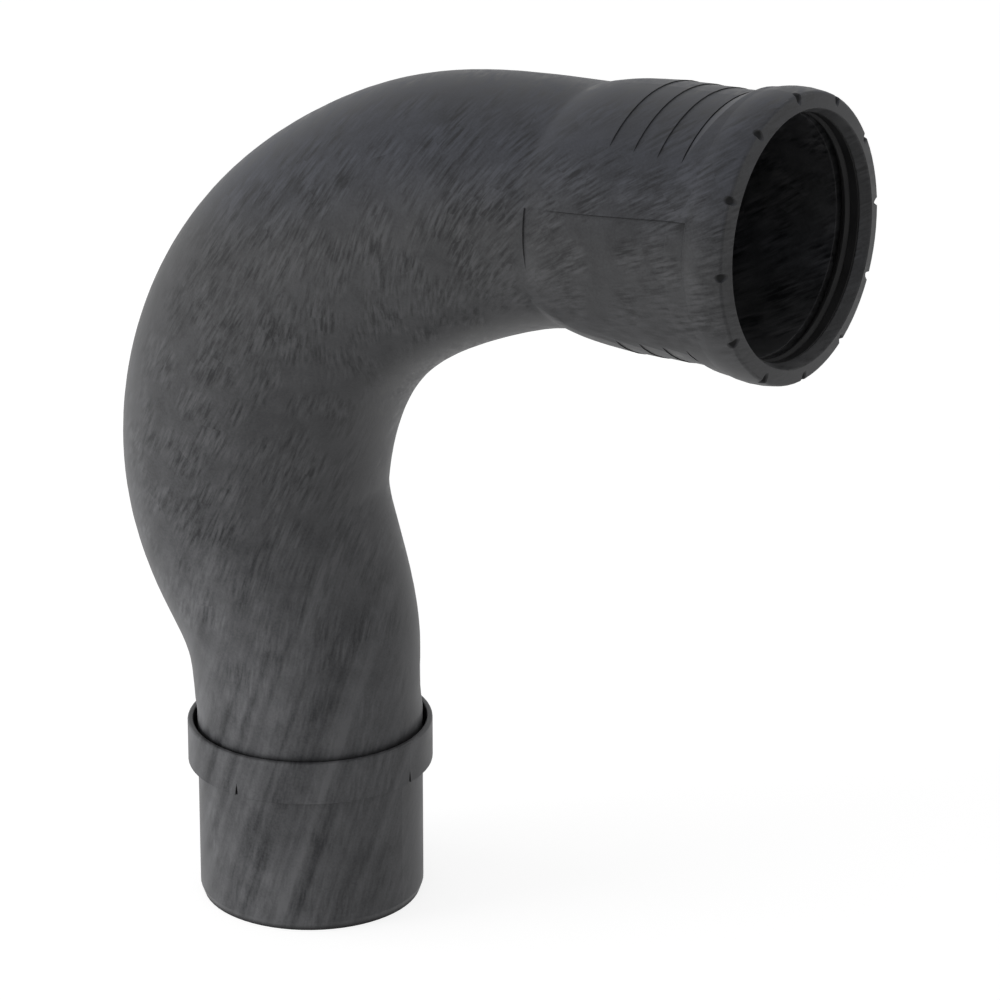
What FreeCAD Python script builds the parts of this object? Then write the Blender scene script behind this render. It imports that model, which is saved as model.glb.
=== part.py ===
import FreeCAD, Part
import math
import os
import Sketcher

# A drain pipe bend of 87.5 degrees for 110 mm pipe, in millimetres. The origin is on the spigot's
# axis, in the lower face of its stop collar, where it seats on another socket's rim. The spigot
# points down. Above the collar the bend swells and leans back towards -X, then turns over to the
# push-fit socket, which opens towards +X and tilts a little upwards. "Back" is always measured from
# the socket's rim along its axis, and "growth" is how much wider than the pipe something is, on the
# radius.

# Driving sizes: name, value, meaning. Lengths are in millimetres and angles in degrees.
DRIVING_SIZES = [
    ("pipe_radius", 55.0, "outside radius of the pipe that the bend joins"),
    ("wall", 4.4, "wall of the spigot and the bend"),
    ("spigot_length", 69.8, "from the spigot's end to the stop collar"),
    ("taper_depth", 1.6, "how far the spigot's end is narrowed, on the radius"),
    ("taper_height", 4.5, "length of that taper"),
    ("collar_height", 21.1, "height of the stop collar"),
    ("collar_gap", 2.1, "width of the open groove in the collar's top"),
    ("collar_wall", 2.8, "wall of the collar outside that groove"),
    ("collar_groove", 12.0, "depth of the groove from the collar's top"),
    ("collar_rounding", 1.2, "rounding of the collar's top edge"),
    ("collar_marks", 4, "number of marks on the collar's lower edge"),
    ("mark_width", 1.8, "width of a collar mark at the edge"),
    ("mark_height", 6.4, "height of a collar mark"),
    ("mark_depth", 1.2, "depth of a collar mark"),
    ("reach", 275.0, "from the spigot's axis to the middle of the socket's rim"),
    ("rise", 318.3, "from the collar's lower face to the middle of the socket's rim"),
    ("lift", 2.5, "angle of the socket's axis above the horizontal"),
    ("bend_start", 5.0, "height above the collar where the bend begins to swell"),
    ("neck_back", 109.0, "where the bend enters the socket"),
    ("neck_growth", 1.2, "growth of the neck at its top and bottom"),
    ("neck_side", 5.9, "growth of the neck at its sides, where it runs into the socket"),
    ("tail_back", 90.0, "where the bend's outside ends, inside the socket's wall"),
    ("tail_side", 7.0, "growth of the bend's sides there"),
    ("root_back", 121.0, "where the socket's outside starts, inside the bend's wall"),
    ("root_growth", 3.5, "growth of the socket's outside there"),
    ("flank_back", 70.0, "where the socket's sides reach their full width"),
    ("flank_growth", 9.0, "growth of the socket's sides there"),
    ("flank_radius", 400.0, "radius of the sides' curve between the neck and there"),
    ("flank_front", 9.3, "growth of the socket's sides beside the front rib"),
    ("bead_back", 19.5, "where the seal bead starts on the sides"),
    ("bead_side", 10.6, "growth of the sides there"),
    ("bead_radius", 38.0, "radius of the bead's rounded outline"),
    ("shoulder_growth", 11.2, "growth of the bead at its front shoulder"),
    ("rim_growth", 9.85, "growth of the rim's edge"),
    ("rim_rounding", 1.3, "depth of the rounding between the bead and the front face"),
    ("rim_arc", 1.56, "radius of that rounding"),
    ("mouth_growth", 3.3, "growth of the mouth's edge"),
    ("mouth_stand", 1.3, "how far the mouth's edge stands out in front of the rim"),
    ("mouth_rounding", 0.8, "rounding of the mouth's edge"),
    ("flange_growth", 1.3, "growth of the flange between the mouth and the seal"),
    ("seal_back", 4.0, "where the seal's groove starts"),
    ("seal_width", 11.6, "width of the seal's groove"),
    ("seal_growth", 6.7, "growth of the floor of the seal's groove"),
    ("seal_play", 0.2, "play between the seal and its groove"),
    ("lip_growth", 0.6, "growth of the seal's lip, as a pipe holds it open"),
    ("lip_thickness", 1.6, "thickness of the seal's band and lip"),
    ("heel_share", 0.45, "share of the seal's width up to the root of its lip"),
    ("tip_share", 0.68, "share of the seal's width up to the tip of its lip"),
    ("bore_play", 0.5, "play between the pipe and the socket's bore, on the radius"),
    ("stop_back", 74.0, "where the shoulder is that stops the pipe"),
    ("grip_offset", 9.4, "how far the grips' axis lies from the socket's, which fades them out"),
    ("grip_growth", 6.5, "growth at the foot of the grip ribs"),
    ("grip_start", -2.6, "growth of the grip's slope where the socket starts"),
    ("grip_slope_end", 5.9, "growth of that slope where the first rib starts"),
    ("grip_slope_radius", 130.0, "radius of that slope's curve"),
    ("rib_back", 31.0, "where the step of the front rib is"),
    ("rib_pitch", 13.0, "distance between two ribs"),
    ("rib_count", 4, "number of ribs at the top, and at the bottom"),
    ("rib_height", 0.45, "height of a rib's step"),
    ("bead_foot_rise", 0.46, "rise of the bead's foot in front of the last rib, for each millimetre"),
    ("notch_count", 12, "number of angle marks on the rim"),
    ("notch_radius", 2.0, "radius of the round groove that makes an angle mark"),
    ("notch_depth", 1.5, "depth of an angle mark at the rim's edge"),
    ("notch_lean", 35.0, "angle between an angle mark and the rim's plane"),
    ("field_back", 20.5, "front end of the marking field"),
    ("field_end", 108.0, "rear end of the marking field"),
    ("field_top", 22.6, "height of the field's upper edge above the socket's axis, at the rim"),
    ("field_height", 38.0, "height of the marking field"),
    ("field_turn", 4.1, "angle between the field's upper edge and the socket's axis"),
    ("field_depth", 0.2, "depth of the marking field level with the axis"),
    ("field_lean", 1.2, "how far the field's floor is let down, which deepens its upper edge"),
]

# Cross-sections of the swollen bend between the collar and the neck, each with its share of the way
# across to the neck, its share of the way up, its lean from the vertical in degrees, its growth, and
# how much wider than high it is, on the radius.
BEND_SECTIONS = [
    ("foot", -0.011, 0.096, -7.7, 0.9, 0.0),
    ("swell_start", -0.057, 0.203, -20.5, 3.2, 0.0),
    ("lower_swell", -0.131, 0.299, -22.0, 6.0, 0.0),
    ("low_heel", -0.173, 0.398, -5.4, 8.8, 0.0),
    ("heel", -0.156, 0.531, 12.6, 11.3, 0.0),
    ("upper_swell", -0.032, 0.702, 33.0, 12.2, 0.0),
    ("crown", 0.198, 0.842, 53.0, 11.2, 0.0),
    ("upper_crown", 0.480, 0.934, 68.0, 9.4, 0.2),
    ("neck_slope", 0.720, 0.976, 77.0, 5.4, 1.8),
]

# Lengths with no effect on the shape: how far a cutting outline passes beyond what it cuts.
CLEAR = 3.0
FAR = 30.0

SHEET = "Sizes"


class Size:
    """A length, angle or number: its value, and the sheet's expression for it."""

    def __init__(self, value, text):
        self.value = value
        self.text = text

    def __add__(self, other):
        other = as_size(other)
        return Size(self.value + other.value, f"({self.text} + {other.text})")

    def __sub__(self, other):
        other = as_size(other)
        return Size(self.value - other.value, f"({self.text} - {other.text})")

    def __mul__(self, other):
        other = as_size(other)
        return Size(self.value * other.value, f"({self.text} * {other.text})")

    def __truediv__(self, other):
        other = as_size(other)
        return Size(self.value / other.value, f"({self.text} / {other.text})")

    def __neg__(self):
        return as_size(0) - self


def as_size(number):
    """Let a plain number stand where a size is expected."""
    if isinstance(number, Size):
        return number
    return Size(float(number), f"({number})")


def sine(angle):
    return Size(math.sin(math.radians(angle.value)), f"sin({angle.text})")


def cosine(angle):
    return Size(math.cos(math.radians(angle.value)), f"cos({angle.text})")


def write_sheet(doc):
    """Fill the sheet of driving sizes, and return each size by its name."""
    rows = list(DRIVING_SIZES)
    for name, across, up, lean, growth, side in BEND_SECTIONS:
        rows.append((name + "_across", across, "share of the way across to the neck"))
        rows.append((name + "_up", up, "share of the way up to the neck"))
        rows.append((name + "_lean", lean, "lean from the vertical"))
        rows.append((name + "_growth", growth, "growth of the section"))
        rows.append((name + "_side", side, "how much wider than high the section is"))
    sheet = doc.addObject("Spreadsheet::Sheet", SHEET)
    sizes = {}
    for row, (name, value, meaning) in enumerate(rows, start=1):
        sheet.set(f"A{row}", name)
        sheet.set(f"B{row}", str(value))
        sheet.set(f"C{row}", meaning)
        sheet.setAlias(f"B{row}", name)
        sizes[name] = Size(float(value), f"{SHEET}.{name}")
    doc.recompute()
    return sizes


def new_body(doc, name):
    body = doc.addObject("PartDesign::Body", name)
    body.Label = name
    return body


def new_sketch(body, name, role, place=None):
    """A sketch on one of the body's own origin planes, moved by an expression for its place."""
    sketch = body.newObject("Sketcher::SketchObject", name)
    plane = [item for item in body.Origin.OriginFeatures if item.Role == role][0]
    sketch.AttachmentSupport = [(plane, "")]
    sketch.MapMode = "FlatFace"
    if place is not None:
        sketch.setExpression("AttachmentOffset", place)
    return sketch


def place_text(corner, axis, angle):
    """The expression for a place: where the sketch's corner goes, and its turn about an axis."""
    position = "; ".join(as_size(part).text for part in corner)
    direction = "; ".join(str(part) for part in axis)
    return f"placement(vector({position}); rotation(vector({direction}); {as_size(angle).text}))"


def hold(sketch, constraint, size=None):
    """Add a constraint, and bind it to a size where it has one."""
    index = sketch.addConstraint(constraint)
    if size is not None:
        sketch.setExpression(f"Constraints[{index}]", size.text)


def arc_edge(start, end, radius):
    """The arc from start to end. A positive radius turns left on the way, a negative one right."""
    chord = end - start
    half = chord.Length / 2
    height = math.sqrt(radius * radius - half * half)
    left = FreeCAD.Vector(-chord.y, chord.x, 0).normalize()
    centre = (start + end) * 0.5 + left * math.copysign(height, radius)
    first, last = (start, end) if radius > 0 else (end, start)
    circle = Part.Circle(centre, FreeCAD.Vector(0, 0, 1), abs(radius))
    first_angle = math.atan2(first.y - centre.y, first.x - centre.x)
    last_angle = math.atan2(last.y - centre.y, last.x - centre.x)
    return Part.ArcOfCircle(circle, first_angle, last_angle)


def draw_outline(sketch, corners):
    """Draw a closed outline through corners. Each is (x, y), or (x, y, radius) where an arc leads
    to it. Every corner is held by its two sizes, and every arc by its radius."""
    points = [FreeCAD.Vector(as_size(c[0]).value, as_size(c[1]).value, 0) for c in corners]
    starts = []
    ends = []
    for index, corner in enumerate(corners):
        start = points[index - 1]
        end = points[index]
        start_pos, end_pos = 1, 2
        if len(corner) == 3:
            radius = as_size(corner[2])
            edge = sketch.addGeometry(arc_edge(start, end, radius.value), False)
            if radius.value < 0:
                start_pos, end_pos = 2, 1
                radius = -radius
            hold(sketch, Sketcher.Constraint("Radius", edge, radius.value), radius)
        else:
            edge = sketch.addGeometry(Part.LineSegment(start, end), False)
        starts.append((edge, start_pos))
        ends.append((edge, end_pos))
    for index, corner in enumerate(corners):
        following = (index + 1) % len(corners)
        hold(sketch, Sketcher.Constraint("Coincident", *ends[index], *starts[following]))
        for kind, part in (("DistanceX", corner[0]), ("DistanceY", corner[1])):
            size = as_size(part)
            hold(sketch, Sketcher.Constraint(kind, -1, 1, *ends[index], size.value), size)


def draw_oval(sketch, half_width, half_height):
    """Draw a circle round the sketch's corner, or an ellipse with its long way across."""
    middle = FreeCAD.Vector(0, 0, 0)
    if half_width.value == half_height.value:
        circle = Part.Circle(middle, FreeCAD.Vector(0, 0, 1), half_height.value)
        edge = sketch.addGeometry(circle, False)
        hold(sketch, Sketcher.Constraint("Radius", edge, half_height.value), half_height)
    else:
        long_end = FreeCAD.Vector(half_width.value, 0, 0)
        short_end = FreeCAD.Vector(0, half_height.value, 0)
        edge = sketch.addGeometry(Part.Ellipse(long_end, short_end, middle), False)
        sketch.exposeInternalGeometry(edge)
        hold(sketch, Sketcher.Constraint("Horizontal", edge + 1))
        for line, half in ((edge + 1, half_width), (edge + 2, half_height)):
            hold(sketch, Sketcher.Constraint("Distance", line, 2 * half.value), half * 2)
    hold(sketch, Sketcher.Constraint("Coincident", edge, 3, -1, 1))


def revolve(body, name, sketch, kind="PartDesign::Revolution", axis="H_Axis"):
    """Turn a sketch once round one of its own axes."""
    feature = body.newObject(kind, name)
    feature.Profile = sketch
    feature.ReferenceAxis = (sketch, [axis])
    feature.Angle = 360
    sketch.Visibility = False
    return feature


def check_change(doc, body, name, faces):
    """Stop if a feature left no trace: each one adds faces to the body."""
    doc.recompute()
    after = len(body.Shape.Faces)
    if after <= faces:
        raise RuntimeError(f"{name} changed nothing")
    return after


def on_socket_axis(sizes, back, offset=0):
    """Where a point lies that is back from the rim along the socket's axis, offset above it."""
    offset = as_size(offset)
    across = sizes["reach"] - cosine(sizes["lift"]) * back - sine(sizes["lift"]) * offset
    up = sizes["rise"] - sine(sizes["lift"]) * back + cosine(sizes["lift"]) * offset
    return across, up


def socket_plane(body, sizes, name, offset=0):
    """A sketch in the bend's mirror plane, with its corner on the rim's middle, or above it by
    offset, and its first axis along the socket."""
    across, up = on_socket_axis(sizes, as_size(0), offset)
    place = place_text((across, up, 0), (0, 0, 1), sizes["lift"])
    return new_sketch(body, name, "XZ_Plane", place)


def socket_outside(doc, body, sizes):
    """The socket's solid of revolution: flank, seal bead, rim and front face."""
    pipe = sizes["pipe_radius"]
    mouth = pipe + sizes["mouth_growth"]
    sketch = socket_plane(body, sizes, "socket_outline")
    draw_outline(sketch, [
        (-sizes["root_back"], 0),
        (sizes["mouth_stand"], 0),
        (sizes["mouth_stand"], mouth),
        (0, pipe + sizes["rim_growth"]),
        (-sizes["rim_rounding"], pipe + sizes["shoulder_growth"], sizes["rim_arc"]),
        (-sizes["bead_back"], pipe + sizes["bead_side"], sizes["bead_radius"]),
        (-sizes["rib_back"], pipe + sizes["flank_front"]),
        (-sizes["flank_back"], pipe + sizes["flank_growth"]),
        (-sizes["root_back"], pipe + sizes["root_growth"], sizes["flank_radius"]),
    ])
    revolve(body, "socket_outside", sketch)
    check_change(doc, body, "socket_outside", 0)
    return sketch


def grips(doc, body, sizes, outline):
    """Cut the two grips, at the socket's top and bottom: a slope up from the neck, a row of
    saw-toothed ribs and the foot of the bead. They are turned about an axis that lies off the
    socket's, so that all of it fades out towards the flanks."""
    base = sizes["pipe_radius"] + sizes["grip_offset"]
    foot = base + sizes["grip_growth"]
    crest = foot + sizes["rib_height"]
    sketch = socket_plane(body, sizes, "grip_outline", -sizes["grip_offset"])
    foot_run = sizes["rib_back"] - sizes["bead_back"] + CLEAR
    corners = [
        (-sizes["root_back"], foot + FAR),
        (-sizes["root_back"], base + sizes["grip_start"]),
    ]
    first = sizes["rib_back"] + sizes["rib_pitch"] * sizes["rib_count"]
    corners.append((-first, base + sizes["grip_slope_end"], -sizes["grip_slope_radius"]))
    for rib in range(round(sizes["rib_count"].value)):
        step = first - sizes["rib_pitch"] * (rib + 1)
        corners.append((-step, crest))
        corners.append((-step, foot))
    corners.append((foot_run - sizes["rib_back"], foot + sizes["bead_foot_rise"] * foot_run))
    corners.append((foot_run - sizes["rib_back"], foot + FAR))
    draw_outline(sketch, corners)
    before = len(body.Shape.Faces)
    top = revolve(body, "grip_top", sketch, "PartDesign::Groove")
    before = check_change(doc, body, "grip_top", before)
    mirrored = body.newObject("PartDesign::Mirrored", "grip_bottom")
    mirrored.Originals = [top]
    mirrored.MirrorPlane = (outline, ["H_Axis"])
    body.Tip = mirrored
    check_change(doc, body, "grip_bottom", before)


def bend_stations(sizes, inset):
    """The sections of the bend from the collar to its neck, each drawn smaller by inset: across,
    up, lean from the vertical, half height and half width."""
    pipe = sizes["pipe_radius"]
    upright = as_size(0)
    start = sizes["collar_height"] + sizes["bend_start"]
    neck_across, neck_up = on_socket_axis(sizes, sizes["neck_back"])
    neck_lean = as_size(90) - sizes["lift"]
    half = pipe - inset
    stations = [(upright, start, upright, half, half)]
    for name, *_ in BEND_SECTIONS:
        half = pipe + sizes[name + "_growth"] - inset
        across = neck_across * sizes[name + "_across"]
        up = start + (neck_up - start) * sizes[name + "_up"]
        stations.append((across, up, sizes[name + "_lean"], half, half + sizes[name + "_side"]))
    half = pipe + sizes["neck_growth"] - inset
    half_width = pipe + sizes["neck_side"] - inset
    stations.append((neck_across, neck_up, neck_lean, half, half_width))
    return stations


def loft_bend(body, name, kind, stations):
    """Loft the bend through its stations."""
    sketches = []
    for index, (across, up, lean, half_height, half_width) in enumerate(stations):
        place = place_text((0, up, across), (1, 0, 0), lean - 90)
        sketch = new_sketch(body, f"{name}_{index}", "YZ_Plane", place)
        draw_oval(sketch, half_width, half_height)
        sketch.Visibility = False
        sketches.append(sketch)
    feature = body.newObject(kind, name)
    feature.Profile = sketches[0]
    feature.Sections = sketches[1:]
    feature.Ruled = False
    feature.Closed = False


def bend_outside(doc, body, sizes):
    """The swollen outside, which ends in the socket's wall and runs out of it at a small angle."""
    stations = bend_stations(sizes, as_size(0))
    lean, half = stations[-1][2:4]
    tail = on_socket_axis(sizes, sizes["tail_back"])
    stations.append((*tail, lean, half, sizes["pipe_radius"] + sizes["tail_side"]))
    before = len(body.Shape.Faces)
    loft_bend(body, "bend_outside", "PartDesign::AdditiveLoft", stations)
    check_change(doc, body, "bend_outside", before)


def bend_inside(doc, body, sizes):
    """The bend's waterway, one wall inside the outside, which narrows to the pipe's own bore
    where it meets the shoulder that stops the pipe."""
    stations = bend_stations(sizes, sizes["wall"])
    lean = stations[-1][2]
    bore = sizes["pipe_radius"] - sizes["wall"]
    end = on_socket_axis(sizes, sizes["stop_back"] - CLEAR)
    stations.append((*end, lean, bore, bore))
    before = len(body.Shape.Faces)
    loft_bend(body, "bend_inside", "PartDesign::SubtractiveLoft", stations)
    check_change(doc, body, "bend_inside", before)


def spigot_outside(doc, body, sizes):
    """The spigot with its tapered end, and the stop collar with the groove in its top."""
    pipe = sizes["pipe_radius"]
    bottom = -sizes["spigot_length"]
    top = sizes["collar_height"]
    rounding = sizes["collar_rounding"]
    groove = pipe + sizes["collar_gap"]
    rim = groove + sizes["collar_wall"]
    sketch = new_sketch(body, "spigot_outline", "XZ_Plane")
    draw_outline(sketch, [
        (0, bottom),
        (pipe - sizes["taper_depth"], bottom),
        (pipe, bottom + sizes["taper_height"]),
        (pipe, 0),
        (rim, 0),
        (rim, top - rounding),
        (rim - rounding, top, rounding),
        (groove + rounding / 2, top),
        (groove, top - rounding / 2, rounding / 2),
        (groove, top - sizes["collar_groove"]),
        (pipe, top - sizes["collar_groove"]),
        (pipe, top + sizes["bend_start"]),
        (0, top + sizes["bend_start"]),
    ])
    before = len(body.Shape.Faces)
    revolve(body, "spigot_outside", sketch, axis="V_Axis")
    check_change(doc, body, "spigot_outside", before)
    return sketch


def spigot_bore(doc, body, sizes):
    """The straight bore from the spigot's end up to where the bend begins."""
    place = place_text((0, 0, -sizes["spigot_length"]), (0, 0, 1), 0)
    sketch = new_sketch(body, "spigot_bore_circle", "XY_Plane", place)
    bore = sizes["pipe_radius"] - sizes["wall"]
    draw_oval(sketch, bore, bore)
    before = len(body.Shape.Faces)
    pocket = body.newObject("PartDesign::Pocket", "spigot_bore")
    pocket.Profile = sketch
    pocket.Reversed = True
    length = sizes["spigot_length"] + sizes["collar_height"] + sizes["bend_start"]
    pocket.setExpression("Length", length.text)
    sketch.Visibility = False
    check_change(doc, body, "spigot_bore", before)


def socket_bore(doc, body, sizes):
    """The socket's inside: rounded mouth, flange, the seal's groove, bore and pipe stop."""
    pipe = sizes["pipe_radius"]
    mouth = pipe + sizes["mouth_growth"]
    flange = pipe + sizes["flange_growth"]
    floor = pipe + sizes["seal_growth"]
    bore = pipe + sizes["bore_play"]
    rounding = sizes["mouth_rounding"]
    front = sizes["mouth_stand"]
    seal_end = sizes["seal_back"] + sizes["seal_width"]
    sketch = socket_plane(body, sizes, "socket_bore_outline")
    draw_outline(sketch, [
        (-sizes["stop_back"], 0),
        (front + CLEAR, 0),
        (front + CLEAR, mouth + rounding),
        (front, mouth + rounding),
        (front - rounding, mouth, -rounding),
        (-sizes["seal_back"], flange),
        (-sizes["seal_back"], floor),
        (-seal_end, floor),
        (-seal_end, bore),
        (-sizes["stop_back"], bore),
    ])
    before = len(body.Shape.Faces)
    revolve(body, "socket_bore", sketch, "PartDesign::Groove")
    check_change(doc, body, "socket_bore", before)


def collar_marks(doc, body, sizes, outline):
    """Pointed marks in the collar's lower edge, evenly round it."""
    rim = sizes["pipe_radius"] + sizes["collar_gap"] + sizes["collar_wall"]
    place = place_text((0, 0, rim - sizes["mark_depth"]), (0, 0, 1), 0)
    sketch = new_sketch(body, "collar_mark_outline", "YZ_Plane", place)
    half = sizes["mark_width"] / 2
    draw_outline(sketch, [(-half, 0), (half, 0), (0, sizes["mark_height"])])
    before = len(body.Shape.Faces)
    pocket = body.newObject("PartDesign::Pocket", "collar_mark")
    pocket.Profile = sketch
    pocket.Reversed = True
    pocket.setExpression("Length", (sizes["mark_depth"] + CLEAR).text)
    sketch.Visibility = False
    before = check_change(doc, body, "collar_mark", before)
    ring(body, "collar_mark_ring", pocket, (outline, ["V_Axis"]), sizes["collar_marks"])
    check_change(doc, body, "collar_mark_ring", before)


def rim_notches(doc, body, sizes, outline):
    """The angle marks: round grooves cut slantwise across the rim's edge, evenly round it."""
    outside = sizes["notch_radius"] - sizes["notch_depth"]
    forward = outside * cosine(sizes["notch_lean"])
    edge = sizes["pipe_radius"] + sizes["rim_growth"]
    height = edge + outside * sine(sizes["notch_lean"])
    across, up = on_socket_axis(sizes, -forward, height)
    lean = -sizes["lift"] - sizes["notch_lean"]
    place = place_text((0, up, across), (1, 0, 0), lean - 90)
    sketch = new_sketch(body, "rim_notch_circle", "YZ_Plane", place)
    draw_oval(sketch, sizes["notch_radius"], sizes["notch_radius"])
    before = len(body.Shape.Faces)
    pocket = body.newObject("PartDesign::Pocket", "rim_notch")
    pocket.Profile = sketch
    pocket.Midplane = True
    pocket.Length = FAR
    sketch.Visibility = False
    before = check_change(doc, body, "rim_notch", before)
    ring(body, "rim_notch_ring", pocket, (outline, ["H_Axis"]), sizes["notch_count"])
    check_change(doc, body, "rim_notch_ring", before)


def ring(body, name, original, axis, count):
    """Repeat a feature evenly round an axis."""
    pattern = body.newObject("PartDesign::PolarPattern", name)
    pattern.Originals = [original]
    pattern.Axis = axis
    pattern.Angle = 360
    pattern.setExpression("Occurrences", count.text)
    body.Tip = pattern


def field_cutter(doc, sizes):
    """What the marking field takes away: a block with the field's outline, hollowed to the socket's
    flank less the field's depth. The hollow is let down, so that the block is sharp and deep at its
    upper edge and runs out along its lower one."""
    body = new_body(doc, "marking_field_cutter")
    slope = sine(sizes["field_turn"]) / cosine(sizes["field_turn"])
    front = sizes["field_top"] - slope * sizes["field_back"]
    rear = sizes["field_top"] - slope * sizes["field_end"]
    outline = socket_plane(body, sizes, "marking_field_outline")
    draw_outline(outline, [
        (-sizes["field_end"], rear - sizes["field_height"]),
        (-sizes["field_back"], front - sizes["field_height"]),
        (-sizes["field_back"], front),
        (-sizes["field_end"], rear),
    ])
    block = body.newObject("PartDesign::Pad", "marking_field_block")
    block.Profile = outline
    block.setExpression("Length", (sizes["pipe_radius"] + FAR).text)
    outline.Visibility = False
    floor = sizes["pipe_radius"] - sizes["field_depth"]
    sketch = socket_plane(body, sizes, "marking_field_floor", -sizes["field_lean"])
    draw_outline(sketch, [
        (-sizes["root_back"], 0),
        (0, 0),
        (0, floor + sizes["bead_side"]),
        (-sizes["bead_back"], floor + sizes["bead_side"]),
        (-sizes["rib_back"], floor + sizes["flank_front"]),
        (-sizes["flank_back"], floor + sizes["flank_growth"]),
        (-sizes["root_back"], floor + sizes["root_growth"], sizes["flank_radius"]),
    ])
    revolve(body, "marking_field_hollow", sketch, "PartDesign::Groove")
    return body


def marking_field(doc, body, sizes):
    """The shallow field for markings on the socket's -Y flank."""
    before = len(body.Shape.Faces)
    cut = body.newObject("PartDesign::Boolean", "marking_field")
    cut.setObjects([field_cutter(doc, sizes)])
    cut.Type = "Cut"
    check_change(doc, body, "marking_field", before)


def bend_body(doc, sizes):
    """The whole moulding, from the outside forms to the bores and the marks."""
    body = new_body(doc, "bend_body")
    socket_outline = socket_outside(doc, body, sizes)
    grips(doc, body, sizes, socket_outline)
    bend_outside(doc, body, sizes)
    spigot_outline = spigot_outside(doc, body, sizes)
    spigot_bore(doc, body, sizes)
    bend_inside(doc, body, sizes)
    socket_bore(doc, body, sizes)
    marking_field(doc, body, sizes)
    collar_marks(doc, body, sizes, spigot_outline)
    rim_notches(doc, body, sizes, socket_outline)
    return body


def lip_seal(doc, sizes):
    """The rubber ring in the socket's groove: a band that fills the groove's floor and front, and
    a lip that leans back over an open channel."""
    body = new_body(doc, "lip_seal")
    pipe = sizes["pipe_radius"]
    play = sizes["seal_play"]
    thick = sizes["lip_thickness"]
    front = sizes["seal_back"] + play
    rear = sizes["seal_back"] + sizes["seal_width"] - play
    outer = pipe + sizes["seal_growth"] - play
    lip = pipe + sizes["lip_growth"]
    band = pipe + sizes["flange_growth"]
    chamfer = thick / 3
    half = thick / 2
    heel = front + (rear - front) * sizes["heel_share"]
    tip = front + (rear - front) * sizes["tip_share"]
    sketch = socket_plane(body, sizes, "seal_outline")
    draw_outline(sketch, [
        (-front, outer),
        (-rear, outer),
        (-rear, outer - thick),
        (-heel, outer - thick),
        (-heel - half, lip + thick),
        (-tip, lip + chamfer),
        (-tip, lip),
        (-tip + half, lip),
        (-heel, band + chamfer),
        (-heel + chamfer, band),
        (-front - chamfer, band),
        (-front, band + chamfer),
    ])
    revolve(body, "seal_ring", sketch)
    return body


def check_document(doc):
    """Stop if any object failed to compute."""
    for item in doc.Objects:
        if "Invalid" in item.State or "Error" in item.State:
            raise RuntimeError(f"{item.Name} did not compute: {item.State}")


def write_part(body):
    """Check one sub-part's solid, and write it under its label."""
    shape = body.Shape
    if shape.isNull() or not shape.isValid() or len(shape.Solids) != 1:
        raise RuntimeError(f"{body.Label} is not one sound solid")
    shape.exportStep(os.path.join("parts", body.Label + ".step"))
    print(body.Label, "volume", round(shape.Volume / 1000, 1), "cm3, faces", len(shape.Faces))


def main():
    doc = FreeCAD.newDocument("drain_pipe_bend")
    sizes = write_sheet(doc)
    bodies = [bend_body(doc, sizes), lip_seal(doc, sizes)]
    doc.recompute()
    check_document(doc)
    os.makedirs("parts", exist_ok=True)
    for body in bodies:
        write_part(body)


main()
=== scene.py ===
import bpy
import math
from mathutils import Matrix, Vector


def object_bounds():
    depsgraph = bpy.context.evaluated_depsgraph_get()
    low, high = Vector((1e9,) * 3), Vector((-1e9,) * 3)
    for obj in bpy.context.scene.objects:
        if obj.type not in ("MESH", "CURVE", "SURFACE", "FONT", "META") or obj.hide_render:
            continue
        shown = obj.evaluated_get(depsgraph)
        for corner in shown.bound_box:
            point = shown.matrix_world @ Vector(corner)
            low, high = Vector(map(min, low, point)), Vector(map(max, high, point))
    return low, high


# The drain pipe bend stands on the end of its spigot, on a white floor. Lengths are in metres. +Z
# is up the spigot, and the socket opens towards +X.
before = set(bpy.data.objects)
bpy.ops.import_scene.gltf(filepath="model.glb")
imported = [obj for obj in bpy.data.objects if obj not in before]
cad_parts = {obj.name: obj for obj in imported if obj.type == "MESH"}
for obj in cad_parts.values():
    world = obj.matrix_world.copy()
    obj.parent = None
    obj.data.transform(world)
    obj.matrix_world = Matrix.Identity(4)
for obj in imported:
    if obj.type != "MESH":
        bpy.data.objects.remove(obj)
cad_low, cad_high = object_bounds()

# The photograph's camera: it looks down on the bend from the front and the right. The middle of
# the spigot's end is at a known distance from the lens and at a known place in the picture.
VIEW_AZIMUTH = math.radians(34.681)
VIEW_ELEVATION = math.radians(21.227)
VIEW_DISTANCE = 2.7215
PICTURE_WIDTH = 1000.0
FOCAL_LENGTH_PIXELS = 5500.0
SENSOR_WIDTH = 36.0
FARTHEST_SEEN = 20.0
SPIGOT_END_COLUMN = 312.41
SPIGOT_END_ROW = 883.21

spigot_end = Vector((0.0, 0.0, cad_low.z))
view_right = Vector((math.cos(VIEW_AZIMUTH), math.sin(VIEW_AZIMUTH), 0.0))
view_back = Vector((
    math.sin(VIEW_AZIMUTH) * math.cos(VIEW_ELEVATION),
    -math.cos(VIEW_AZIMUTH) * math.cos(VIEW_ELEVATION),
    math.sin(VIEW_ELEVATION),
))
view_up = view_back.cross(view_right)

bpy.context.scene.view_settings.view_transform = "Standard"


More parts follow.
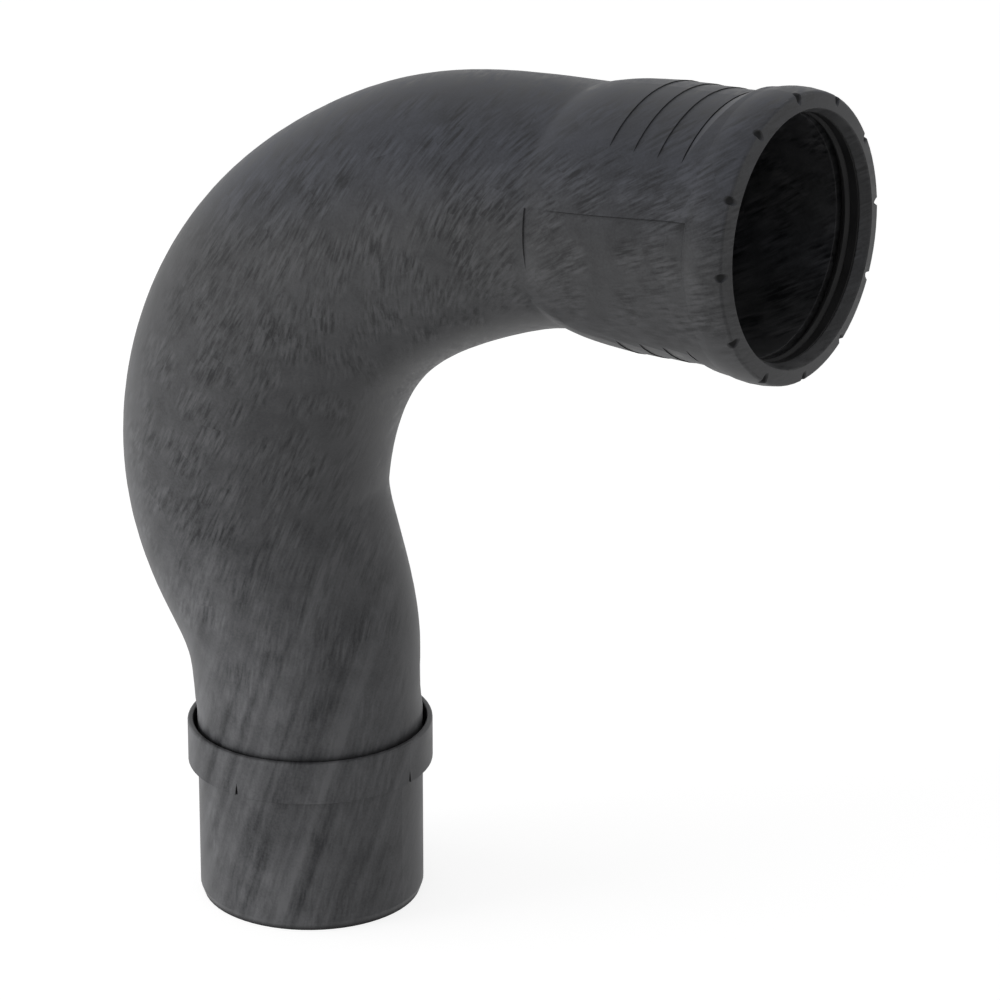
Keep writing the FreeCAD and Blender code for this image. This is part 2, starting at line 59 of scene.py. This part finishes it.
def make_camera():
    across = (SPIGOT_END_COLUMN - PICTURE_WIDTH / 2) / FOCAL_LENGTH_PIXELS
    down = (SPIGOT_END_ROW - PICTURE_WIDTH / 2) / FOCAL_LENGTH_PIXELS
    place = spigot_end + VIEW_DISTANCE * (view_back - across * view_right + down * view_up)
    data = bpy.data.cameras.new("camera")
    data.sensor_width = SENSOR_WIDTH
    data.lens = FOCAL_LENGTH_PIXELS / PICTURE_WIDTH * SENSOR_WIDTH
    data.clip_end = FARTHEST_SEEN
    camera = bpy.data.objects.new("camera", data)
    turn = Matrix((view_right, view_up, view_back)).transposed().to_4x4()
    camera.matrix_world = Matrix.Translation(place) @ turn
    bpy.context.scene.collection.objects.link(camera)
    bpy.context.scene.camera = camera


class Nodes:
    """A short way to write shader nodes. A value may be a number, a vector or another socket."""

    def __init__(self, tree):
        self.tree = tree
        tree.nodes.clear()

    def add(self, kind, inputs=None, **settings):
        node = self.tree.nodes.new(kind)
        for name, value in settings.items():
            setattr(node, name, value)
        for name, value in (inputs or {}).items():
            self.put(node.inputs[name], value)
        return node

    def put(self, socket, value):
        if isinstance(value, bpy.types.NodeSocket):
            self.tree.links.new(value, socket)
        else:
            socket.default_value = value

    def math(self, operation, *values):
        node = self.add("ShaderNodeMath", operation=operation)
        for socket, value in zip(node.inputs, values):
            self.put(socket, value)
        return node.outputs[0]

    def total(self, *parts):
        """The sum of parts, each a pair of a value and its weight."""
        result = 0.0
        for value, weight in parts:
            result = self.math("MULTIPLY_ADD", value, weight, result)
        return result

    def distance(self, across, up):
        """The distance of a point that lies so far across and so far up."""
        squares = self.total(
            (self.math("MULTIPLY", across, across), 1.0),
            (self.math("MULTIPLY", up, up), 1.0),
        )
        return self.math("SQRT", squares)

    def dot(self, vector, direction):
        node = self.add("ShaderNodeVectorMath", operation="DOT_PRODUCT")
        self.put(node.inputs[0], vector)
        node.inputs[1].default_value = direction
        return node.outputs["Value"]

    def vector(self, operation, first, second):
        node = self.add("ShaderNodeVectorMath", operation=operation)
        self.put(node.inputs[0], first)
        self.put(node.inputs[1], second)
        return node.outputs[0]

    def scale(self, vector, factor):
        node = self.add("ShaderNodeVectorMath", operation="SCALE")
        self.put(node.inputs[0], vector)
        self.put(node.inputs["Scale"], factor)
        return node.outputs[0]

    def combine(self, x, y, z):
        return self.add("ShaderNodeCombineXYZ", {"X": x, "Y": y, "Z": z}).outputs[0]

    def noise(self, place, scale=1.0, detail=2.0, roughness=0.5):
        return self.add("ShaderNodeTexNoise", {
            "Vector": place,
            "Scale": scale,
            "Detail": detail,
            "Roughness": roughness,
        }).outputs["Fac"]

    def centred_noise(self, place, **settings):
        return self.math("SUBTRACT", self.noise(place, **settings), 0.5)

    def ramp(self, value, first, last):
        """The colours from first to last, for values from nought to one."""
        node = self.add("ShaderNodeValToRGB", {"Fac": value})
        node.color_ramp.elements[0].color = first
        node.color_ramp.elements[1].color = last
        return node.outputs["Color"]

    def fit(self, value, low, high, to_low=0.0, to_high=1.0, smooth=False):
        """Stretch low..high to to_low..to_high, and hold it between them."""
        kind = "SMOOTHSTEP" if smooth else "LINEAR"
        return self.add("ShaderNodeMapRange", {
            "Value": value,
            "From Min": low,
            "From Max": high,
            "To Min": to_low,
            "To Max": to_high,
        }, interpolation_type=kind).outputs["Result"]


def new_material(name):
    material = bpy.data.materials.new(name)
    material.use_nodes = True
    return material, Nodes(material.node_tree)


# The flow marks in the plastic are fine short strokes. Seen from the front right they turn with the
# melt: steeply up the tube, up the swollen back at a middling slope, and round the inner corner of
# the bend to the socket. Places are measured to the photograph's right and up, from the frame's
# origin. A stroke's angle, in degrees above the photograph's horizontal, is a start, and a turn for
# each degree that it lies round the corner. One pair holds within NEAR_REACH of the corner and
# above it, the other beyond FAR_REACH and from CORNER_FADE below it.
CORNER_ACROSS = 0.094
CORNER_UP = 0.191
CORNER_FADE = 0.035
NEAR_REACH = 0.045
NEAR_START = -19.0
NEAR_TURN = 0.72
FAR_REACH = 0.134
FAR_START = 20.0
FAR_TURN = 0.22
LARGEST_ROUND = 200.0
# The strokes on the lower tube are steeper by TUBE_EXTRA.
TUBE_EXTRA = 17.0
TUBE_TOP = 0.122
TUBE_BOTTOM = 0.048

# The strokes lie in patches. They fade out between two shares of a patch's size from its middle.
PATCH_SIZE = 0.018
PATCH_FADE = (0.25, 0.65)
PATCH_SHIFTS = (Vector((0.0, 0.0, 0.0)), Vector((0.31, 0.17, 0.23)), Vector((0.53, 0.71, 0.47)))
SEED_STEP = 40.0
STROKE_WIDTH = 0.0016
STROKE_LENGTH = 0.018
STROKE_DEPTH = 0.008
STROKE_NOISE = {"detail": 3.0, "roughness": 0.55}

# Around the lower tube, the collar and the spigot there are broad slanted bands as well. They grow
# from BAND_TOP down to BAND_BOTTOM, where a share LOW_STROKES of the strokes is left.
BAND_SLANT = math.radians(71.0)
BAND_WIDTH = 0.008
BAND_LENGTH = 0.30
BAND_NOISE = {"detail": 3.0, "roughness": 0.6}
BAND_TOP = 0.17
BAND_BOTTOM = 0.03
LOW_STROKES = 0.35

# The other marks, and how much each kind lightens or darkens the plastic.
CLOUD_NOISE = {"scale": 20.0, "detail": 3.0}
BLOTCH_NOISE = {"scale": 75.0, "detail": 3.0, "roughness": 0.6}
GRAIN_NOISE = {"scale": 900.0, "detail": 2.0}
STROKE_WEIGHT = 2.2
BAND_WEIGHT = 2.2
CLOUD_WEIGHT = 0.7
BLOTCH_WEIGHT = 0.8
GRAIN_WEIGHT = 0.5
STROKE_RELIEF = 0.7
GRAIN_RELIEF = 0.35


def stroke_angle(nodes, place):
    """The angle of the strokes at a point, in radians."""
    across = nodes.math("SUBTRACT", nodes.dot(place, view_right), CORNER_ACROSS)
    up = nodes.math("SUBTRACT", nodes.dot(place, view_up), CORNER_UP)
    # Turned by a right angle, so that the jump of the angle lies below the corner.
    turned = nodes.math("ARCTAN2", nodes.math("MULTIPLY", across, -1.0), up)
    round_corner = nodes.math("MULTIPLY_ADD", turned, math.degrees(1.0), 90.0)
    round_corner = nodes.math("MINIMUM", round_corner, LARGEST_ROUND)
    far = nodes.math("MULTIPLY_ADD", round_corner, FAR_TURN, FAR_START)
    near = nodes.math("MULTIPLY_ADD", round_corner, NEAR_TURN, NEAR_START)
    near_share = nodes.math(
        "MULTIPLY",
        nodes.fit(nodes.distance(across, up), NEAR_REACH, FAR_REACH, 1.0, 0.0, smooth=True),
        nodes.fit(up, -CORNER_FADE, 0.0, 0.0, 1.0, smooth=True),
    )
    bent = nodes.math("MULTIPLY", nodes.math("SUBTRACT", near, far), near_share)
    height = nodes.math("ADD", up, CORNER_UP)
    tube = nodes.fit(height, TUBE_BOTTOM, TUBE_TOP, TUBE_EXTRA, 0.0, smooth=True)
    return nodes.math("RADIANS", nodes.total((far, 1.0), (bent, 1.0), (tube, 1.0)))


def stroke_layer(nodes, place, shift):
    """Patches of short strokes that fade out at their edges, as a value round nought. All of a
    patch has the direction of its middle."""
    cells = nodes.add("ShaderNodeTexVoronoi", {
        "Vector": nodes.vector("ADD", place, shift),
        "Scale": 1.0 / PATCH_SIZE,
    })
    middle = nodes.vector("SUBTRACT", cells.outputs["Position"], shift)
    angle = stroke_angle(nodes, middle)
    sine = nodes.math("SINE", angle)
    cosine = nodes.math("COSINE", angle)
    offset = nodes.vector("SUBTRACT", place, middle)
    right = nodes.dot(offset, view_right)
    up = nodes.dot(offset, view_up)
    over = nodes.total((up, cosine), (right, nodes.math("MULTIPLY", sine, -1.0)))
    along = nodes.total((right, cosine), (up, sine))
    stretched = nodes.combine(
        nodes.math("DIVIDE", over, STROKE_WIDTH),
        nodes.math("DIVIDE", along, STROKE_LENGTH),
        nodes.math("DIVIDE", nodes.dot(offset, view_back), STROKE_DEPTH),
    )
    seed = nodes.vector("MULTIPLY", cells.outputs["Color"], (SEED_STEP, SEED_STEP, SEED_STEP))
    marks = nodes.centred_noise(nodes.vector("ADD", stretched, seed), **STROKE_NOISE)
    inside = nodes.fit(cells.outputs["Distance"], *PATCH_FADE, 1.0, 0.0, smooth=True)
    return nodes.math("MULTIPLY", marks, inside)


def slanted_bands(nodes, place):
    """Broad soft bands on the lower tube, as a value round nought."""
    across = nodes.dot(place, view_right)
    up = nodes.dot(place, view_up)
    over = nodes.total((across, math.sin(BAND_SLANT)), (up, -math.cos(BAND_SLANT)))
    along = nodes.total((across, math.cos(BAND_SLANT)), (up, math.sin(BAND_SLANT)))
    return nodes.centred_noise(nodes.combine(
        nodes.math("DIVIDE", over, BAND_WIDTH),
        nodes.math("DIVIDE", along, BAND_LENGTH),
        nodes.math("DIVIDE", nodes.dot(place, view_back), BAND_LENGTH),
    ), **BAND_NOISE)


def flow_marks(nodes, place, height):
    """All the marks together, as a value round nought, and the relief of the strokes and grain."""
    layers = [(stroke_layer(nodes, place, shift), 1.0) for shift in PATCH_SHIFTS]
    bands = slanted_bands(nodes, place)
    clouds = nodes.centred_noise(place, **CLOUD_NOISE)
    blotches = nodes.centred_noise(place, **BLOTCH_NOISE)
    grain = nodes.centred_noise(place, **GRAIN_NOISE)
    upper = nodes.fit(height, BAND_BOTTOM, BAND_TOP)
    lower = nodes.math("SUBTRACT", 1.0, upper)
    stroke_share = nodes.fit(upper, 0.0, 1.0, LOW_STROKES, 1.0)
    strokes = nodes.math("MULTIPLY", nodes.total(*layers), stroke_share)
    marks = nodes.total(
        (strokes, STROKE_WEIGHT),
        (nodes.math("MULTIPLY", bands, lower), BAND_WEIGHT),
        (clouds, CLOUD_WEIGHT),
        (blotches, BLOTCH_WEIGHT),
        (grain, GRAIN_WEIGHT),
    )
    return marks, nodes.total((strokes, STROKE_RELIEF), (grain, GRAIN_RELIEF))


# The socket, and how softly its edges are shaded. The flank leaves the bend in a soft crease. Its
# four places along the axis are where the crease starts, is full, is full until, and has ended.
SOCKET_MIDDLE = Vector((0.275, 0.0, 0.3183))
SOCKET_AXIS = Vector((0.999048, 0.0, 0.043619))
SOCKET_SIDE = Vector((0.0, 1.0, 0.0))
SOCKET_UP = Vector((-SOCKET_AXIS.z, 0.0, SOCKET_AXIS.x))
CREASE_PLACES = (-0.132, -0.122, -0.098, -0.090)
EDGE_SOFTNESS = 0.0005
CREASE_SOFTNESS = 0.0075
EDGE_SAMPLES = 4


def edge_softness(nodes, place):
    """How far the shading rounds an edge: widely where the flank leaves the bend. Also how much of
    that holds at the point."""
    forward = nodes.math("SUBTRACT", nodes.dot(place, SOCKET_AXIS), SOCKET_MIDDLE.dot(SOCKET_AXIS))
    start, full_start, full_end, end = CREASE_PLACES
    share = nodes.math(
        "MULTIPLY",
        nodes.fit(forward, start, full_start, smooth=True),
        nodes.fit(forward, full_end, end, 1.0, 0.0, smooth=True),
    )
    softness = nodes.math("MULTIPLY_ADD", share, CREASE_SOFTNESS - EDGE_SOFTNESS, EDGE_SOFTNESS)
    return softness, share


# The rim's angle marks lie behind the front face, which leans, and below the bead's shoulder. These
# are the mouth's edge and the shoulder, with the slopes from them, and the depths between which a
# mark is painted darker with shade. The rim itself runs forward from RIM_BACK and outward from
# RIM_INSIDE.
MOUTH_FORWARD = 0.0013
MOUTH_RADIUS = 0.0583
FACE_SLOPE = 0.20
SHOULDER_FORWARD = -0.0013
SHOULDER_RADIUS = 0.0662
SHOULDER_SLOPE = -0.20
MARK_SHALLOW = 0.0003
MARK_DEEP = 0.0009
NOTCH_SHADE_DARKENING = 0.8
RIM_BACK = (-0.006, -0.005)
RIM_INSIDE = (0.0615, 0.0620)


def angle_mark_shade(nodes, place):
    """One inside the rim's angle marks, where shade is painted, and nought elsewhere."""
    offset = nodes.vector("SUBTRACT", place, SOCKET_MIDDLE)
    forward = nodes.dot(offset, SOCKET_AXIS)
    radius = nodes.distance(nodes.dot(offset, SOCKET_SIDE), nodes.dot(offset, SOCKET_UP))
    past_mouth = nodes.math("SUBTRACT", radius, MOUTH_RADIUS)
    lean = nodes.total((past_mouth, FACE_SLOPE), (forward, 1.0))
    behind_face = nodes.math("SUBTRACT", MOUTH_FORWARD, lean)
    past_shoulder = nodes.math("SUBTRACT", forward, SHOULDER_FORWARD)
    outside = nodes.math("MULTIPLY_ADD", past_shoulder, SHOULDER_SLOPE, SHOULDER_RADIUS)
    below_shoulder = nodes.math("SUBTRACT", outside, radius)
    depth = nodes.math("MINIMUM", behind_face, below_shoulder)
    on_rim = nodes.math("MULTIPLY", nodes.fit(forward, *RIM_BACK), nodes.fit(radius, *RIM_INSIDE))
    return nodes.math("MULTIPLY", nodes.fit(depth, MARK_SHALLOW, MARK_DEEP), on_rim)


# Shade is painted into the plastic's colour in crevices narrower than about CREVICE_REACH, from where
# CREVICE_OPEN of the light reaches a point down to where CREVICE_SHUT does.
CREVICE_REACH = 0.003
CREVICE_OPEN = 0.95
CREVICE_SHUT = 0.35
CREVICE_SAMPLES = 4


def painted_shade_factor_at(nodes, place, on_crease):
    """The factor of painted shade: one on open surfaces, and less in crevices and in the rim's angle
    marks.
    """
    # Painted shade in crevices, darker where the occlusion shuts out the light.
    crevices = nodes.add("ShaderNodeAmbientOcclusion", {
        "Distance": CREVICE_REACH,
    }, samples=CREVICE_SAMPLES)
    open_part = nodes.fit(crevices.outputs["AO"], CREVICE_SHUT, CREVICE_OPEN)
    open_part = nodes.math("MAXIMUM", open_part, on_crease)
    # Painted shade: the rim's angle marks are darkened where they lie deep.
    notch_unshaded = nodes.math("MULTIPLY_ADD", angle_mark_shade(nodes, place), -NOTCH_SHADE_DARKENING, 1.0)
    return nodes.math("MULTIPLY", open_part, notch_unshaded)


# A cool sheen of the light from above is painted on what faces up on the crown and the socket: this
# much is added to red, green and blue. It starts at COOL_BOTTOM and is full at COOL_TOP, and on
# surfaces that face up by COOL_FACING.
COOL_SHEEN_TINT = (-0.08, -0.03, 0.13)
COOL_FACING = 0.8
COOL_BOTTOM = 0.27
COOL_TOP = 0.31


def painted_cool_sheen(nodes, height):
    """What the plastic's colour is multiplied by for its painted cool sheen of the light from above."""
    normal = nodes.add("ShaderNodeNewGeometry").outputs["Normal"]
    facing = nodes.fit(nodes.dot(normal, (0.0, 0.0, 1.0)), 0.0, COOL_FACING, smooth=True)
    share = nodes.math("MULTIPLY", facing, nodes.fit(height, COOL_BOTTOM, COOL_TOP, smooth=True))
    return nodes.combine(*[nodes.math("MULTIPLY_ADD", share, part, 1.0) for part in COOL_SHEEN_TINT])


# The plastic's colours at the darkest and the lightest marks, which lie MARK_RANGE from the middle.
# Painted bounce light from the floor: the colour is brighter low down, by LIGHTER_SHARE at
# LIGHTER_BOTTOM.
DARK_PLASTIC = (0.0068, 0.0070, 0.0080, 1.0)
LIGHT_PLASTIC = (0.0540, 0.0544, 0.0568, 1.0)
MARK_RANGE = 0.5
LIGHTER_BOTTOM = 0.05
LIGHTER_TOP = 0.30
LIGHTER_SHARE = 1.95
PLASTIC_ROUGHNESS = 0.51
MARK_ROUGHNESS = 0.20
CREVICE_ROUGHNESS = 0.35
PLASTIC_IOR = 1.46
PLASTIC_GLOSS = 0.36
PLASTIC_BUMP = 0.30
PLASTIC_RELIEF = 0.00025


def moulded_plastic():
    """Charcoal mineral-filled plastic: satin, streaked by the flow of the melt, with painted shade in
    crevices and angle marks, painted bounce light low down and a painted cool sheen on what faces up.
    """
    material, nodes = new_material("moulded_plastic")
    place = nodes.add("ShaderNodeTexCoord").outputs["Object"]
    height = nodes.add("ShaderNodeSeparateXYZ", {"Vector": place}).outputs["Z"]
    marks, relief = flow_marks(nodes, place, height)
    softness, on_crease = edge_softness(nodes, place)
    painted_shade_factor = painted_shade_factor_at(nodes, place, on_crease)

    streaked = nodes.ramp(nodes.fit(marks, -MARK_RANGE, MARK_RANGE), DARK_PLASTIC, LIGHT_PLASTIC)
    # Painted sheen: up-facing surfaces are tinted cool, for the light from above.
    sheened = nodes.vector("MULTIPLY", streaked, painted_cool_sheen(nodes, height))
    # Painted light: the floor's bounce, brighter low down.
    floor_bounce_light = nodes.fit(height, LIGHTER_BOTTOM, LIGHTER_TOP, LIGHTER_SHARE, 1.0, smooth=True)
    # The painted shade and the painted bounce light multiply the colour.
    colour = nodes.scale(sheened, nodes.math("MULTIPLY", painted_shade_factor, floor_bounce_light))
    marked = nodes.math("MULTIPLY_ADD", marks, MARK_ROUGHNESS, PLASTIC_ROUGHNESS)
    shut = nodes.math("SUBTRACT", 1.0, painted_shade_factor)

    soften = nodes.add("ShaderNodeBevel", {"Radius": softness}, samples=EDGE_SAMPLES)
    bump = nodes.add("ShaderNodeBump", {
        "Height": relief,
        "Strength": PLASTIC_BUMP,
        "Distance": PLASTIC_RELIEF,
        "Normal": soften.outputs["Normal"],
    })
    shader = nodes.add("ShaderNodeBsdfPrincipled", {
        "Base Color": colour,
        "Roughness": nodes.math("MULTIPLY_ADD", shut, CREVICE_ROUGHNESS, marked),
        "IOR": PLASTIC_IOR,
        "Specular IOR Level": PLASTIC_GLOSS,
        "Normal": bump.outputs["Normal"],
    })
    nodes.add("ShaderNodeOutputMaterial", {"Surface": shader.outputs[0]})
    return material


# The seal has a fine grain, and a bloom that makes it paler and rougher in places.
SEAL_GRAIN = {"scale": 1200.0, "detail": 3.0}
SEAL_BLOOM = {"scale": 60.0, "detail": 4.0}
BARE_RUBBER = (0.006, 0.006, 0.0065, 1.0)
BLOOMED_RUBBER = (0.014, 0.014, 0.0145, 1.0)
BLOOM_RANGE = (0.3, 0.7)
RUBBER_ROUGHNESS = (0.50, 0.66)
RUBBER_IOR = 1.50
RUBBER_GLOSS = 0.25
RUBBER_BUMP = 0.3
RUBBER_RELIEF = 0.0002


def seal_rubber():
    """Matt black rubber with a fine grain."""
    material, nodes = new_material("seal_rubber")
    place = nodes.add("ShaderNodeTexCoord").outputs["Object"]
    grain = nodes.noise(place, **SEAL_GRAIN)
    bloom = nodes.noise(place, **SEAL_BLOOM)
    bump = nodes.add("ShaderNodeBump", {
        "Height": grain,
        "Strength": RUBBER_BUMP,
        "Distance": RUBBER_RELIEF,
    })
    shader = nodes.add("ShaderNodeBsdfPrincipled", {
        "Base Color": nodes.ramp(bloom, BARE_RUBBER, BLOOMED_RUBBER),
        "Roughness": nodes.fit(bloom, *BLOOM_RANGE, *RUBBER_ROUGHNESS),
        "IOR": RUBBER_IOR,
        "Specular IOR Level": RUBBER_GLOSS,
        "Normal": bump.outputs["Normal"],
    })
    nodes.add("ShaderNodeOutputMaterial", {"Surface": shader.outputs[0]})
    return material


def dress(name, material):
    """Give a node of the frame its material."""
    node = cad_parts[name]
    node.data.materials.clear()
    node.data.materials.append(material)


# Where the floor is seen it glows, and a darker paint takes the light and the shadow.
WHITE = (1.0, 1.0, 1.0, 1.0)
FLOOR_GLOW = 0.80
SEEN_GREY = 0.36
LIT_GREY = 0.86
FLOOR_HALF = 6.0
WORLD_STRENGTH = 0.54


def seen_directly(nodes):
    """One for what the lens sees, also in gloss or through glass, and nought for lighting."""
    path = nodes.add("ShaderNodeLightPath")
    reflected = nodes.math("MAXIMUM", path.outputs["Is Glossy Ray"], path.outputs["Is Transmission Ray"])
    return nodes.math("MAXIMUM", path.outputs["Is Camera Ray"], reflected)


def floor_white():
    """White paint, which glows where it is seen."""
    material, nodes = new_material("floor_white")
    seen = seen_directly(nodes)
    grey = nodes.fit(seen, 0.0, 1.0, LIT_GREY, SEEN_GREY)
    diffuse = nodes.add("ShaderNodeBsdfDiffuse", {"Color": nodes.combine(grey, grey, grey)})
    strength = nodes.math("MULTIPLY", seen, FLOOR_GLOW)
    glow = nodes.add("ShaderNodeEmission", {"Color": WHITE, "Strength": strength})
    both = nodes.add("ShaderNodeAddShader")
    nodes.put(both.inputs[0], diffuse.outputs[0])
    nodes.put(both.inputs[1], glow.outputs[0])
    nodes.add("ShaderNodeOutputMaterial", {"Surface": both.outputs[0]})
    return material


def make_floor():
    """A white floor that keeps the object's soft shadow."""
    mesh = bpy.data.meshes.new("floor")
    corners = [(x * FLOOR_HALF, y * FLOOR_HALF, 0.0) for x, y in ((-1, -1), (1, -1), (1, 1), (-1, 1))]
    mesh.from_pydata(corners, [], [(0, 1, 2, 3)])
    mesh.materials.append(floor_white())
    floor = bpy.data.objects.new("floor", mesh)
    floor.location.z = cad_low.z
    bpy.context.scene.collection.objects.link(floor)


def make_world():
    """Plain soft light from all round, and white behind the object."""
    world = bpy.data.worlds.new("world")
    world.use_nodes = True
    bpy.context.scene.world = world
    nodes = Nodes(world.node_tree)
    strength = nodes.fit(seen_directly(nodes), 0.0, 1.0, WORLD_STRENGTH, 1.0)
    light = nodes.add("ShaderNodeBackground", {"Color": WHITE, "Strength": strength})
    nodes.add("ShaderNodeOutputWorld", {"Surface": light.outputs[0]})


# Each lamp stands so far to the right of the bend's middle, above it and in front of it, as the
# photograph shows them. Sizes are in metres and powers in watts.
LAMPS = {
    "left_lamp": {"right": -1.7, "up": 0.25, "front": -0.2, "size": 1.0, "power": 9.0},
    "low_lamp": {"right": -1.6, "up": -0.1, "front": 0.45, "size": 0.8, "power": 17.0},
}


def make_lamp(name, right, up, front, size, power):
    """A soft round lamp that points at the bend's middle, and doesn't show in its gloss."""
    middle = (cad_low + cad_high) / 2
    place = middle + right * view_right + up * view_up + front * view_back
    data = bpy.data.lights.new(name, "AREA")
    data.shape = "DISK"
    data.size = size
    data.energy = power
    lamp = bpy.data.objects.new(name, data)
    lamp.location = place
    lamp.rotation_euler = (middle - place).to_track_quat("-Z", "Y").to_euler()
    lamp.visible_glossy = False
    bpy.context.scene.collection.objects.link(lamp)


make_camera()
make_world()
for lamp_name, lamp_values in LAMPS.items():
    make_lamp(lamp_name, **lamp_values)
make_floor()
dress("bend_body", moulded_plastic())
dress("lip_seal", seal_rubber())
